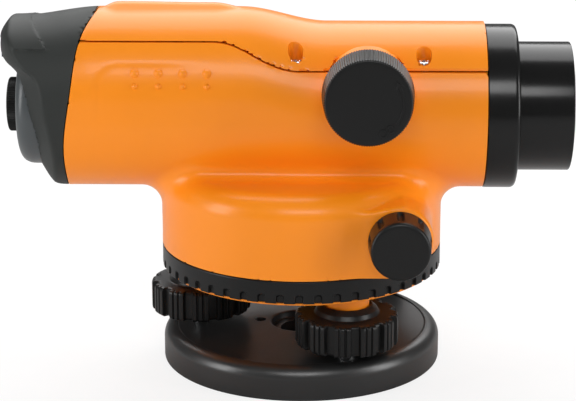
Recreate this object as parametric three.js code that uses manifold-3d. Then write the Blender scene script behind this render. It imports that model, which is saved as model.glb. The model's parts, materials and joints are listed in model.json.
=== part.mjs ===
// Automatic level: a surveyor's telescope with a self-levelling compensator, on a
// three-screw base. Millimetres, +Z up. The origin is the middle of the whole object's
// underside, on the plane that rests on the tripod head. The line of sight runs along X,
// objective at +X, eyepiece at -X. The focus knob is on the -Y side. All sizes below are
// measured from the vertical axis, and the finished assembly is moved along X at the end.
import * as THREE from 'three';
import { mergeVertices } from 'three/addons/utils/BufferGeometryUtils.js';
import Module from 'manifold-3d';

const wasm = await Module();
wasm.setup();

// ---------------------------------------------------------------- driving dimensions
const GAP = 0.3; // between pieces that move past each other, and between cut neighbours
const FIT = 0.1; // between pieces that are fixed to each other
const AXIS_X = 5.385; // the vertical axis, measured from the middle of the length

const PLATE_RADIUS = 50; // base plate
const PLATE_HEIGHT = 12;
const PLATE_RIM = 4; // radius of the rounded top edge
const PLATE_RECESS = 2.6; // depth of the recess under the plate
const TRIPOD_BORE = 7.6; // minor radius of the 5/8 inch tripod thread
const TRIPOD_COUNTERBORE = 11;

const SCREW_PITCH = 36.7; // foot screws: distance of each from the vertical axis
const SCREWS = [
  { name: 'front', angle: -63.6, phase: -5 },
  { name: 'rear', angle: 56.4, phase: 10 },
  { name: 'left', angle: 176.4, phase: 2.5 },
];
const BALL_RADIUS = 4.4;
const BALL_Z = 7;
const FOOT_KNOB = { radius: 17.9, valley: 16.3, bottom: 16.1, top: 27, lobes: 12 };

const TRIBRACH = { radius: 48, bottom: 33, hub: 31, top: 35.1, boss: 13.7, shoulder: 17, bossTop: 58 };
const RING = { radius: 50, bore: 40.5, bottom: 35.4, top: 43.3, lip: 44.8, lipTop: 50 };
const NOTCHES = 48;

const DRUM = { radius: 50, bore: 46, bottom: 43.6, shoulder: 64, top: 73, ceiling: 62.8 };
const SIGHT_Z = 92.8; // height of the line of sight
const BODY_RADIUS = 28.5; // half width of the telescope body
const BODY_RAISE = 6.4; // how far the body's upper arc sits above the line of sight
const BODY_WALL = 3;
const FRONT_RADIUS = 29.25; // round front half of the body
const FRONT_RAISE = 0.6;
const FRONT_END = 64;
const FALL = { from: -21, to: 9 }; // where the body's top falls to the round front half
const HOOD_RAISE = 3.1; // the upper arc sinks to this towards the eyepiece
const HOOD_FALL = { from: 70, to: 100 }; // distance behind the vertical axis
const HOOD_BEND = 0.0166; // in plan the eyepiece end bows forward by this times y squared
const STATIONS = [-112, -100, -92, -85, -78, -70, -21, -14, -10, -6, -2, 3, 9, FRONT_END];
const RIB = { half: 6.2, flat: 1.4, base: 34, crest: 37 }; // sighting rib on the top
const CAVITY = { rear: -95, front: -24, end: 80 }; // ends of the deep and the round cavities
const SEAM_REAR = 27; // height of the cover's lower edge above the line of sight
const SEAM_FRONT = 17.2;

const COLLAR = { radius: 28.9, end: 75.4 };
const OBJECTIVE = { radius: 22.7, bore: 19.5, start: 60, end: 94.5, seat: 17.4 };
const BEZEL = { radius: 21, face: -99.3, edge: 8.5, front: -88 };
const EYE_RING = { radius: 9.6, rear: -103.6, front: -99.6 };
const BARREL_RADIUS = 6.4;

const FOCUS = { x: 23, z: 12.1, boss: 13.8, bossEnd: 33, radius: 15.8, back: 34, front: 47 };
const PINION = { pitch: 2, teeth: 12, tip: 2.3, root: 1.6 };
const BULKHEADS = [-12, 55];
const BULKHEAD_THICKNESS = 3;
const RODS = { y: 14, z: -9, radius: 1.5 };

const SLOW = { x: 34, z: 56.8, back: 46.5, front: 58.5, radius: 10.85, boss: 11.6, flutes: 9 };
const WHEEL = { radius: 28.2, root: 27.2, teeth: 72, bottom: 52.8, top: 60.6 };
const SHAFT_RADIUS = 2.5; // the focusing and slow motion shafts, and their bushes
const BUSH_RADIUS = 4.6;
const WORM = { core: 4.1, radius: 5.5, half: 9, turns: 3 };

const PENDULUM = { x: -35, top: 13, bottom: -17.6 };
const LUG_RADIUS = 3.8; // the posts the cover screws stand on
const THREAD_HOLE = 1.3;
const POCKET_RADIUS = 2.6;
const COVER_SCREWS = [
  { name: 'rear_near', x: -1.7, y: -19.3 },
  { name: 'rear_far', x: -1.7, y: 19.3 },
  { name: 'front_near', x: 42.3, y: -19.3 },
  { name: 'front_far', x: 42.3, y: 19.3 },
];
const POCKET_FLOOR = 18.6; // height of the cover's screw pockets above the line of sight

const FINISHES = {
  orange: { color: 0xf7931e, roughness: 0.35, metalness: 0 },
  black: { color: 0x2b2c2d, roughness: 0.5, metalness: 0.1 },
  grip: { color: 0x3c3f3f, roughness: 0.65, metalness: 0 },
  grey: { color: 0x5a6063, roughness: 0.35, metalness: 0.2 },
  steel: { color: 0xb9bcc0, roughness: 0.3, metalness: 0.9 },
  brass: { color: 0xc9a14a, roughness: 0.35, metalness: 0.9 },
  copper: { color: 0xb87333, roughness: 0.4, metalness: 0.9 },
  aluminium: { color: 0xc4c6c8, roughness: 0.4, metalness: 0.8 },
  glass: { color: 0xcfe6ea, roughness: 0.05, metalness: 0 },
};

// ---------------------------------------------------------------- helpers
const { degToRad: rad, lerp, smoothstep } = THREE.MathUtils;
const UNIT = {
  x: new THREE.Vector3(1, 0, 0),
  y: new THREE.Vector3(0, 1, 0),
  z: new THREE.Vector3(0, 0, 1),
};

function signedVolume(position, index) {
  const [a, b, c] = [new THREE.Vector3(), new THREE.Vector3(), new THREE.Vector3()];
  let total = 0;
  for (let i = 0; i < index.length; i += 3) {
    a.fromArray(position, 3 * index[i]);
    b.fromArray(position, 3 * index[i + 1]);
    c.fromArray(position, 3 * index[i + 2]);
    total += a.dot(b.cross(c)) / 6;
  }
  return total;
}

// A closed three.js geometry as a solid that can be joined and cut.
function solid(geometry) {
  geometry.deleteAttribute('normal');
  geometry.deleteAttribute('uv');
  const merged = mergeVertices(geometry, 1e-4);
  const position = merged.attributes.position.array;
  const corners = merged.index.array;
  const triangles = [];
  for (let i = 0; i < corners.length; i += 3) {
    const [a, b, c] = corners.slice(i, i + 3);
    if (a !== b && b !== c && c !== a) triangles.push(a, b, c);
  }
  if (signedVolume(position, triangles) < 0) triangles.reverse();
  return new wasm.Manifold(new wasm.Mesh({
    numProp: 3,
    vertProperties: Float32Array.from(position),
    triVerts: Uint32Array.from(triangles),
  }));
}

function join(...solids) {
  return solids.reduce((whole, piece) => whole.add(piece));
}

// A revolved solid. The profile is a list of [radius, height] pairs, revolved about an axis.
function lathe(axis, profile, segments = 24) {
  const points = profile.map(([radius, height]) => new THREE.Vector2(radius, height));
  const geometry = new THREE.LatheGeometry(points, segments);
  if (axis === 'x') geometry.rotateZ(-Math.PI / 2);
  if (axis === 'z') geometry.rotateX(Math.PI / 2);
  return geometry;
}

function rod(axis, radius, from, to, segments = 18) {
  return lathe(axis, [[0, from], [radius, from], [radius, to], [0, to]], segments);
}

function tube(axis, inner, outer, from, to, segments = 24) {
  const profile = [[inner, from], [outer, from], [outer, to], [inner, to], [inner, from]];
  return lathe(axis, profile, segments);
}

function block(x, y, z) {
  const geometry = new THREE.BoxGeometry(x[1] - x[0], y[1] - y[0], z[1] - z[0]);
  return geometry.translate((x[0] + x[1]) / 2, (y[0] + y[1]) / 2, (z[0] + z[1]) / 2);
}

// Points of an arc about a centre, as pairs of coordinates.
function arc(centre, radius, fromDegrees, toDegrees, steps = 3) {
  const points = [];
  for (let i = 0; i <= steps; i += 1) {
    const angle = rad(fromDegrees + ((toDegrees - fromDegrees) * i) / steps);
    points.push([centre[0] + radius * Math.cos(angle), centre[1] + radius * Math.sin(angle)]);
  }
  return points;
}

function outline(points) {
  return new THREE.Shape(points.map(([u, v]) => new THREE.Vector2(u, v)));
}

// Extrusions: an XY outline along Z, an XZ outline along Y, a YZ outline along X.
// Each curve of the outline gets twice curveSegments straight steps.
function alongZ(shape, from, to, curveSegments = 6) {
  const options = { depth: to - from, bevelEnabled: false, curveSegments };
  return new THREE.ExtrudeGeometry(shape, options).translate(0, 0, from);
}

function alongY(shape, from, to, curveSegments = 6) {
  const options = { depth: to - from, bevelEnabled: false, curveSegments };
  const geometry = new THREE.ExtrudeGeometry(shape, options);
  return geometry.rotateX(Math.PI / 2).translate(0, to, 0);
}

function alongX(shape, from, to, curveSegments = 6) {
  const options = { depth: to - from, bevelEnabled: false, curveSegments };
  const geometry = new THREE.ExtrudeGeometry(shape, options);
  const turn = new THREE.Matrix4().makeBasis(UNIT.y, UNIT.z, UNIT.x);
  return geometry.applyMatrix4(turn).translate(from, 0, 0);
}

function piece(name, shape, finish) {
  const made = shape.getMesh ? shape : solid(shape);
  const { vertProperties, triVerts } = made.getMesh();
  const geometry = new THREE.BufferGeometry();
  geometry.setAttribute('position', new THREE.BufferAttribute(vertProperties, 3));
  geometry.setIndex(new THREE.BufferAttribute(triVerts, 1));
  geometry.computeVertexNormals();
  const mesh = new THREE.Mesh(geometry, new THREE.MeshStandardMaterial(FINISHES[finish]));
  mesh.name = name;
  return mesh;
}

function place(mesh, x, y, z) {
  mesh.position.set(x, y, z);
  return mesh;
}

// ---------------------------------------------------------------- base
function screwSpot(screw) {
  const angle = rad(screw.angle);
  return [SCREW_PITCH * Math.cos(angle), SCREW_PITCH * Math.sin(angle)];
}

function basePlate() {
  const rim = PLATE_HEIGHT - PLATE_RIM;
  const profile = [
    [TRIPOD_BORE, 0], [12, 0], [12, PLATE_RECESS], [43.5, PLATE_RECESS], [43.5, 0],
    [PLATE_RADIUS, 0],
    ...arc([PLATE_RADIUS - PLATE_RIM, rim], PLATE_RIM, 0, 90, 2),
    [TRIPOD_COUNTERBORE, PLATE_HEIGHT], [TRIPOD_COUNTERBORE, 9], [TRIPOD_BORE, 9], [TRIPOD_BORE, 0],
  ];
  let plate = solid(lathe('z', profile, 36));
  for (const screw of SCREWS) {
    const [x, y] = screwSpot(screw);
    const chamber = rod('z', BALL_RADIUS + GAP * 2, 1, 9.8, 14).translate(x, y, 0);
    const neck = rod('z', 3.6, 8, 14, 14).translate(x, y, 0);
    const [u, v] = [x * 0.41, y * 0.41];
    const fixingHole = rod('z', 1.6, -1, 14, 8).translate(u, v, 0);
    plate = plate.subtract(join(solid(chamber), solid(neck), solid(fixingHole)));
  }
  return piece('base_plate', plate, 'black');
}

// A rounded triangle under the plate that keeps the three ball ends in their sockets.
function springPlate() {
  const lobe = 6;
  const corners = [];
  for (const screw of SCREWS) {
    corners.push(...arc(screwSpot(screw), lobe, screw.angle - 60, screw.angle + 60, 5));
  }
  const shape = outline(corners);
  const hole = new THREE.Path();
  hole.absarc(0, 0, 12 + 2 * GAP, 0, 2 * Math.PI, true);
  shape.holes.push(hole);
  return piece('spring_plate', alongZ(shape, 1, 2.3, 14), 'steel');
}

function tribrach() {
  const { radius, bottom, hub, top, boss, shoulder, bossTop } = TRIBRACH;
  const bore = 6.3;
  const profile = [
    [bore, hub - 0.5], [22, hub], [26, bottom], [44, bottom], [radius, top - 0.8], [radius, top],
    [shoulder, top], [shoulder, WHEEL.bottom - GAP], [boss, WHEEL.bottom - GAP],
    [boss, bossTop], [bore, bossTop], [bore, hub - 0.5],
  ];
  let body = solid(lathe('z', profile, 36));
  for (const screw of SCREWS) {
    const [x, y] = screwSpot(screw);
    const sleeve = solid(rod('z', 7.8, 28.2, 34, 20).translate(x, y, 0));
    const thread = solid(rod('z', 4.5 + GAP, 27, 34.4, 14).translate(x, y, 0));
    body = body.add(sleeve).subtract(thread);
  }
  return piece('tribrach', body, 'orange');
}

// ---------------------------------------------------------------- foot screws
function footScrewSpindle(screw) {
  const ball = arc([0, BALL_Z], BALL_RADIUS, -90, 45, 4);
  const profile = [
    ...ball, [3, 10.4], [3, 15.6], [3.8, 15.6], [3.8, 27.8], [4.5, 28], [4.5, 33.6], [0, 34.1],
  ];
  profile[0][0] = 0;
  const [x, y] = screwSpot(screw);
  return place(piece(`foot_screw_${screw.name}`, lathe('z', profile, 14), 'steel'), x, y, 0);
}

// Twelve broad lobes with flat valleys between them.
function footKnobOutline(screw) {
  const { radius, valley, lobes } = FOOT_KNOB;
  const step = 360 / lobes;
  const lobe = [
    [-9.5, radius], [0, radius + 0.1], [9.5, radius], [10.5, valley], [19.5, valley],
  ];
  const points = [];
  for (let i = 0; i < lobes; i += 1) {
    for (const [turn, reach] of lobe) {
      const angle = rad(screw.phase + i * step + turn);
      points.push([reach * Math.cos(angle), reach * Math.sin(angle)]);
    }
  }
  return outline(points);
}

function footKnob(screw) {
  const { bottom, top } = FOOT_KNOB;
  const grip = solid(alongZ(footKnobOutline(screw), bottom, top));
  const hub = solid(lathe('z', [[0, top - 2], [10.9, top - 2], [10.9, 27.6], [8.8, 30.2], [0, 30.2]], 18));
  const pocket = solid(rod('z', 8.1, 27.6, 32));
  const bore = solid(rod('z', 3.8 + FIT, 10, 30, 14));
  const recess = solid(tube('z', 7, 14.5, bottom - 1, bottom + 3, 16));
  const knob = grip.add(hub).subtract(pocket).subtract(bore).subtract(recess);
  const [x, y] = screwSpot(screw);
  return place(piece(`foot_knob_${screw.name}`, knob, 'black'), x, y, 0);
}

// ---------------------------------------------------------------- horizontal circle
function circleRing() {
  const { radius, bore, bottom, top, lip, lipTop } = RING;
  const profile = [
    [bore, bottom], [radius, bottom], [radius, top], [lip, top], [lip, lipTop],
    [bore, lipTop], [bore, bottom],
  ];
  const [half, side, crown] = [1.2, bottom + 2.3, bottom + 3.1];
  const arch = outline([[-half, bottom - 1], [half, bottom - 1], [half, side], [0, crown], [-half, side]]);
  const cutters = [];
  for (let i = 0; i < NOTCHES; i += 1) {
    const cutter = alongY(arch, -radius - 2, -radius + 1);
    cutters.push(solid(cutter.rotateZ((2 * Math.PI * i) / NOTCHES)));
  }
  const ring = solid(lathe('z', profile, 48)).subtract(join(...cutters));
  return piece('circle_ring', ring, 'black');
}

function circleScale() {
  const scale = tube('z', RING.lip + FIT, 45.6, RING.top + FIT, RING.lipTop, 48);
  return piece('circle_scale', scale, 'aluminium');
}

// ---------------------------------------------------------------- horizontal drive
function wormWheel() {
  const { radius, root, teeth, bottom, top } = WHEEL;
  const step = 360 / teeth;
  const points = [];
  for (let i = 0; i < teeth; i += 1) {
    const tooth = [[0, radius], [2.5, root]];
    for (const [turn, reach] of tooth) {
      const angle = rad(i * step + turn);
      points.push([reach * Math.cos(angle), reach * Math.sin(angle)]);
    }
  }
  const shape = outline(points);
  const hole = new THREE.Path();
  hole.absarc(0, 0, TRIBRACH.boss + GAP, 0, 2 * Math.PI, true);
  shape.holes.push(hole);
  return piece('worm_wheel', alongZ(shape, bottom, top, 12), 'brass');
}

class Helix extends THREE.Curve {
  constructor(radius, half, turns) {
    super();
    this.radius = radius;
    this.half = half;
    this.turns = turns;
  }

  getPoint(t, target = new THREE.Vector3()) {
    const angle = 2 * Math.PI * this.turns * t;
    const along = this.half * (2 * t - 1);
    return target.set(this.radius * Math.cos(angle), along, this.radius * Math.sin(angle));
  }
}

function wormShaft() {
  const { core, radius, half, turns } = WORM;
  const end = SLOW.front - 3;
  const profile = [
    [0, -end], [SHAFT_RADIUS, -end], [SHAFT_RADIUS, -half - 2], [core, -half - 1],
    [core, half + 1], [SHAFT_RADIUS, half + 2], [SHAFT_RADIUS, end], [0, end],
  ];
  const wire = new THREE.Shape();
  const wireRadius = 0.8;
  wire.absarc(0, 0, wireRadius, 0, 2 * Math.PI, false);
  const path = new Helix(radius - wireRadius, half - 1, turns);
  const options = { steps: turns * 8, extrudePath: path, curveSegments: 2, bevelEnabled: false };
  const thread = solid(new THREE.ExtrudeGeometry(wire, options));
  const shaft = solid(lathe('y', profile, 12)).add(thread);
  return place(piece('worm_shaft', shaft, 'steel'), SLOW.x, 0, SLOW.z);
}

// side is -1 for the knob on the focusing side and +1 for the one on the far side.
function slowKnob(name, side) {
  const { back, front, radius, flutes } = SLOW;
  const profile = [
    [0, side * back], [radius, side * back], [radius, side * (back + 1)],
    [radius - 0.7, side * (front - 1.2)], [radius - 1.7, side * (front - 0.3)], [0, side * front],
  ];
  let knob = solid(lathe('y', profile, 27));
  for (let i = 0; i < flutes; i += 1) {
    const angle = rad(90 + (360 / flutes) * i);
    const cutter = rod('y', 1.2, -front - 1, front + 1, 5);
    cutter.translate(radius * Math.cos(angle), 0, radius * Math.sin(angle));
    knob = knob.subtract(solid(cutter));
  }
  knob = knob.subtract(solid(rod('y', SHAFT_RADIUS + FIT, -front + 2.8, front - 2.8, 14)));
  return place(piece(name, knob, 'black'), SLOW.x, 0, SLOW.z);
}

function slowBush(name, side) {
  const ends = [side * (SLOW.back - 0.6), side * 30];
  const bush = tube('y', SHAFT_RADIUS + GAP, BUSH_RADIUS, Math.min(...ends), Math.max(...ends), 16);
  return place(piece(name, bush, 'brass'), SLOW.x, 0, SLOW.z);
}

// ---------------------------------------------------------------- vertical axis
function axisSpindle() {
  const profile = [
    [0, 26.4], [4, 26.4], [4, 30.2], [6, 30.4], [6, TRIBRACH.bossTop + GAP],
    [12, TRIBRACH.bossTop + GAP], [12, DRUM.ceiling - FIT], [0, DRUM.ceiling - FIT],
  ];
  return piece('axis_spindle', lathe('z', profile, 24), 'steel');
}

function axisNut() {
  const hexagon = solid(rod('z', 8.5, 26.7, 30.1, 6));
  return piece('axis_nut', hexagon.subtract(solid(rod('z', 4 + FIT, 20, 40, 24))), 'brass');
}

// ---------------------------------------------------------------- telescope outlines
// Heights in this section are measured from the line of sight.

// Section of the rear body: a full width slot shape, deeper than it is wide.
function slotSection(radius) {
  const shape = new THREE.Shape();
  shape.absarc(0, BODY_RAISE, radius, 0, Math.PI, false);
  shape.absarc(0, 0, radius, Math.PI, 2 * Math.PI, false);
  return shape;
}

function roundSection(radius) {
  const shape = new THREE.Shape();
  shape.absarc(0, FRONT_RAISE, radius, 0, 2 * Math.PI, false);
  return shape;
}

// Radius of the body's section at a distance from the vertical axis, and the heights of
// the centres of its lower and upper arcs.
function sectionAt(x) {
  const front = smoothstep(x, FALL.from, FALL.to);
  const hood = smoothstep(-x, HOOD_FALL.from, HOOD_FALL.to);
  return {
    radius: lerp(BODY_RADIUS, FRONT_RADIUS, front),
    lower: FRONT_RAISE * front,
    upper: lerp(lerp(BODY_RAISE, HOOD_RAISE, hood), FRONT_RAISE, front),
  };
}

// The long body of the telescope, whose section changes from station to station. The
// inset makes it smaller all round, for what is hollowed out of it.
function longBody(inset = 0) {
  const options = { depth: 1, steps: STATIONS.length - 1, bevelEnabled: false, curveSegments: 7 };
  const geometry = new THREE.ExtrudeGeometry(slotSection(BODY_RADIUS), options);
  const point = geometry.attributes.position;
  for (let i = 0; i < point.count; i += 1) {
    const x = STATIONS[Math.round(point.getZ(i) * options.steps)];
    const { radius, lower, upper } = sectionAt(x);
    const scale = (radius - inset) / BODY_RADIUS;
    const above = point.getY(i) > BODY_RAISE / 2;
    const height = (point.getY(i) - (above ? BODY_RAISE : 0)) * scale;
    point.setXYZ(i, x, point.getX(i) * scale, height + (above ? upper : lower));
  }
  return solid(geometry);
}

// The curve where the orange body meets the eyepiece cover, and all the room in front of it.
function bodySide(shift) {
  const seam = [
    [-68.8, 36.5], [-75.4, 28.5], [-77.6, 16.4], [-79.4, 6], [-81, -6], [-81.6, -18], [-83.2, -30],
  ];
  const shape = new THREE.Shape();
  shape.moveTo(100, 45);
  shape.lineTo(seam[0][0] + shift, 45);
  shape.lineTo(seam[0][0] + shift, seam[0][1]);
  shape.splineThru(seam.slice(1).map(([x, z]) => new THREE.Vector2(x + shift, z)));
  shape.lineTo(-83.2 + shift, -80);
  shape.lineTo(100, -80);
  return shape;
}

// The room above the seam between the housing and its top cover.
function aboveSeam(shift) {
  const rear = SEAM_REAR + shift;
  const front = SEAM_FRONT + shift;
  const shape = new THREE.Shape();
  shape.moveTo(-95, 50);
  shape.lineTo(-95, rear);
  shape.lineTo(-30, rear);
  shape.bezierCurveTo(-18, rear, -13, front, 2, front);
  shape.lineTo(80, front);
  shape.lineTo(80, 50);
  return shape;
}

// A roof-shaped rib along the top, to point the telescope by. Its ends run out in ramps.
function sightingRib() {
  const { half, flat, base, crest } = RIB;
  const section = outline([[-half, base], [half, base], [flat, crest], [-flat, crest]]);
  const [low, high] = [base - 1, crest + 1];
  const side = outline([[-72, low], [-64.5, high], [-32, high], [-25, crest - 0.4], [-16.5, low]]);
  return solid(alongX(section, -72, -16)).intersect(solid(alongY(side, -half, half)));
}

// The boss behind a slow motion knob, with a flat that runs back into the drum's wall.
function slowBoss(side) {
  const { x, z, boss, back } = SLOW;
  const crown = arc([x, z], boss, 100, -90, 12);
  const shape = outline([[14, DRUM.bottom], [14, z + boss - 1.5], ...crown, [x - 4, DRUM.bottom]]);
  const ends = [side * 20, side * (back - GAP)];
  return solid(alongY(shape, Math.min(...ends), Math.max(...ends)).translate(0, 0, -SIGHT_Z));
}

// The whole orange body before it is hollowed and parted, in the telescope's frame.
function bodyBlank() {
  const { radius, bottom, shoulder, top } = DRUM;
  const round = top - 1 - shoulder;
  const profile = [
    [0, bottom], [radius, bottom],
    ...arc([radius - round, shoulder], round, 0, 90),
    [0, top],
  ];
  const drum = solid(lathe('z', profile, 48).translate(0, 0, -SIGHT_Z));
  let body = join(longBody(), sightingRib(), drum);
  for (const side of [-1, 1]) {
    body = body.add(solid(endFillet(side))).add(slowBoss(side));
  }
  return body;
}

// The web that rounds the corner between the drum's wall and the tube's underside.
function endFillet(side) {
  const reach = 7.5;
  const centre = [DRUM.radius + reach, -29.6 - reach];
  const corner = arc(centre, reach, 180, 100, 4);
  const [outer, inner] = [DRUM.radius + reach, DRUM.radius - 6];
  const points = [...corner, [outer, -24], [inner, -24], [inner, corner[0][1]]];
  return alongY(outline(points.map(([x, z]) => [side * x, z])), -9, 9);
}

function bodyCavity() {
  const inner = BODY_RADIUS - BODY_WALL;
  const rear = alongX(slotSection(inner), CAVITY.rear, CAVITY.front, 5);
  const middle = alongX(roundSection(FRONT_RADIUS - BODY_WALL), 2 * CAVITY.front, CAVITY.end, 8);
  const { bore, bottom, ceiling } = DRUM;
  const drum = rod('z', bore, bottom - 5, ceiling, 36).translate(0, 0, -SIGHT_Z);
  return join(solid(rear), solid(middle), solid(drum));
}

function focusBore(radius, segments) {
  return solid(rod('y', radius, -60, 0, segments).translate(FOCUS.x, 0, FOCUS.z));
}

function screwLug(screw, from, to) {
  return solid(rod('z', LUG_RADIUS, from, to, 10).translate(screw.x, screw.y, 0));
}

function bulkhead(x) {
  const disc = tube('x', 17, FRONT_RADIUS - BODY_WALL + 1, x, x + BULKHEAD_THICKNESS, 20);
  return solid(disc.translate(0, 0, FRONT_RAISE));
}

function housing() {
  const upper = solid(alongY(aboveSeam(0), -60, 60, 3));
  const cavity = bodyCavity();
  const { x, z, boss, bossEnd } = FOCUS;
  const focusBoss = solid(rod('y', boss, -bossEnd, -20, 28).translate(x, 0, z)).subtract(cavity);
  let body = bodyBlank().intersect(solid(alongY(bodySide(0), -60, 60, 1))).subtract(cavity);
  for (const start of BULKHEADS) body = body.add(bulkhead(start));
  for (const screw of COVER_SCREWS) {
    body = body.add(screwLug(screw, 11.5, SEAM_FRONT + 2).intersect(bodyBlank()));
  }
  body = body.subtract(upper).add(focusBoss);
  for (const screw of COVER_SCREWS) {
    const hole = rod('z', THREAD_HOLE, 9, 30, 8).translate(screw.x, screw.y, 0);
    body = body.subtract(solid(hole));
  }
  const slowBore = rod('y', BUSH_RADIUS + FIT, -60, 60, 16).translate(SLOW.x, 0, SLOW.z - SIGHT_Z);
  const window = block([-52, -40], [-6.3, 6.3], [45.7 - SIGHT_Z, 53.3 - SIGHT_Z]);
  body = body.subtract(focusBore(BUSH_RADIUS + FIT, 16)).subtract(solid(slowBore)).subtract(solid(window));
  return piece('housing', body, 'orange');
}

function topCover() {
  const upper = solid(alongY(aboveSeam(GAP), -60, 60, 3));
  let cover = bodyBlank().intersect(solid(alongY(bodySide(0), -60, 60, 1))).intersect(upper);
  cover = cover.subtract(bodyCavity());
  for (const screw of COVER_SCREWS) {
    const lug = screwLug(screw, SEAM_FRONT - 2, 25).intersect(bodyBlank()).intersect(upper);
    const pocket = solid(rod('z', POCKET_RADIUS, POCKET_FLOOR, 40, 12).translate(screw.x, screw.y, 0));
    const hole = solid(rod('z', THREAD_HOLE, 9, 30, 8).translate(screw.x, screw.y, 0));
    cover = cover.add(lug).subtract(pocket).subtract(hole);
  }
  cover = cover.subtract(focusBore(FOCUS.boss + GAP, 28));
  return piece('top_cover', cover, 'orange');
}

function coverScrew(screw) {
  const floor = POCKET_FLOOR + FIT;
  const profile = [
    [0, 10], [THREAD_HOLE - FIT, 10], [THREAD_HOLE - FIT, floor], [2.3, floor],
    [2.3, floor + 1.2], [1.8, floor + 1.7],
    [0, floor + 1.7],
  ];
  const slot = solid(block([-0.35, 0.35], [-3, 3], [floor + 1, floor + 3]));
  const cross = solid(block([-3, 3], [-0.35, 0.35], [floor + 1, floor + 3]));
  const screwSolid = solid(lathe('z', profile, 10)).subtract(slot).subtract(cross);
  return place(piece(`cover_screw_${screw.name}`, screwSolid, 'steel'), screw.x, screw.y, 0);
}

// ---------------------------------------------------------------- eyepiece end
// Side outline of the rubber cover at its middle: a hood over the eyepiece, then the
// slope that carries the bezel.
function hoodOutline() {
  const shape = new THREE.Shape();
  shape.moveTo(-60, 40);
  shape.lineTo(-84, 37);
  shape.lineTo(-95, 33.6);
  shape.lineTo(-99, 33.6);
  shape.quadraticCurveTo(-105.8, 29, -105.8, 22.5);
  shape.quadraticCurveTo(-105.8, 16.5, -101.9, 13);
  shape.lineTo(-101.9, 4.5);
  shape.lineTo(-99.6, -5);
  shape.lineTo(-93.7, -20.4);
  shape.quadraticCurveTo(-90.5, -27.6, -83, -28.2);
  shape.lineTo(-60, -30);
  return shape;
}

function hoodInside() {
  return outline([
    [-60, 33], [-80, 32], [-95, 30], [-99, 29], [-102.4, 25.5], [-103.2, 22], [-102, 18],
    [-99.3, 14.5], [-99.3, 4.5], [-97, -4.5], [-91.3, -19.5], [-88, -24.5], [-82, -26.4],
    [-60, -26.4],
  ]);
}

// A side outline carried across the whole width, bowed forward away from the middle.
function bowed(shape) {
  const half = 32;
  const options = { depth: 2 * half, steps: 12, bevelEnabled: false, curveSegments: 3 };
  const geometry = new THREE.ExtrudeGeometry(shape, options);
  geometry.rotateX(Math.PI / 2).translate(0, half, 0);
  const point = geometry.attributes.position;
  for (let i = 0; i < point.count; i += 1) {
    point.setX(i, point.getX(i) + HOOD_BEND * point.getY(i) ** 2);
  }
  return solid(geometry);
}

function windowOpening(grow) {
  const half = 8 - grow;
  return solid(block([-108, -100], [-half, half], [18.5 + grow, 25.5 - grow]));
}

function eyepieceCover() {
  const front = bodySide(-GAP);
  const outer = longBody()
    .intersect(bowed(hoodOutline()))
    .subtract(solid(alongY(front, -60, 60, 1)));
  const inner = longBody(BODY_WALL).intersect(bowed(hoodInside()));
  const bezelHole = solid(rod('x', BEZEL.radius + GAP, -115, -80, 32));
  const cover = outer.subtract(inner).subtract(bezelHole).subtract(windowOpening(0));
  return piece('eyepiece_cover', cover, 'grip');
}

function hoodWindow() {
  const pane = windowOpening(GAP).intersect(solid(block([-104.6, -103.4], [-9, 9], [15, 30])));
  return piece('hood_window', pane, 'glass');
}

function eyepieceBezel() {
  const { radius, face, edge, front } = BEZEL;
  const ringBore = EYE_RING.radius + GAP;
  const barrelBore = BARREL_RADIUS + GAP;
  const profile = [
    [ringBore, face], ...arc([radius - edge, face + edge], edge, -90, 0), [radius, front],
    [barrelBore, front], [barrelBore, face + 4], [ringBore, face + 4], [ringBore, face],
  ];
  return piece('eyepiece_bezel', lathe('x', profile, 26), 'grey');
}

function eyepieceRing() {
  const { radius, rear, front } = EYE_RING;
  const inner = BARREL_RADIUS + FIT;
  const profile = [
    [inner, rear + 0.6], [radius - 1, rear], [radius, rear + 1], [radius, front],
    [inner, front], [inner, rear + 0.6],
  ];
  return piece('eyepiece_ring', lathe('x', profile, 30), 'black');
}

function eyepieceBarrel() {
  const bore = 5.4;
  return piece('eyepiece_barrel', tube('x', bore, BARREL_RADIUS, -103, -80, 18), 'aluminium');
}

// A lens about the X axis. Bulges are how far each face's centre stands out of its rim.
function lens(name, radius, from, to, bulgeFrom, bulgeTo) {
  const steps = 2;
  const profile = [];
  for (let i = 0; i <= steps; i += 1) {
    const r = (radius * i) / steps;
    profile.push([r, from - bulgeFrom * (1 - (r / radius) ** 2)]);
  }
  for (let i = steps; i >= 0; i -= 1) {
    const r = (radius * i) / steps;
    profile.push([r, to + bulgeTo * (1 - (r / radius) ** 2)]);
  }
  return piece(name, lathe('x', profile, 18), 'glass');
}

// ---------------------------------------------------------------- objective end
function objectiveCollar() {
  const { radius, end } = COLLAR;
  const bore = OBJECTIVE.radius + GAP;
  const edge = 3;
  const profile = [
    [bore, FRONT_END + GAP], [radius, FRONT_END + GAP],
    ...arc([radius - edge, end - edge], edge, 0, 90), [bore, end], [bore, FRONT_END + GAP],
  ];
  return piece('objective_collar', lathe('x', profile, 30), 'black');
}

function objectiveTube() {
  const { radius, bore, start, end, seat } = OBJECTIVE;
  const profile = [
    [bore, start], [radius, start], [radius, end - 0.5], [radius - 0.5, end], [bore, end],
    [bore, 80], [seat, 80], [seat, 78], [bore, 78], [bore, start],
  ];
  return piece('objective_tube', lathe('x', profile, 26), 'black');
}

function objectiveRetainer() {
  return piece('objective_retainer', tube('x', 17.2, OBJECTIVE.bore - GAP, 88, 90.5), 'black');
}

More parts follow.
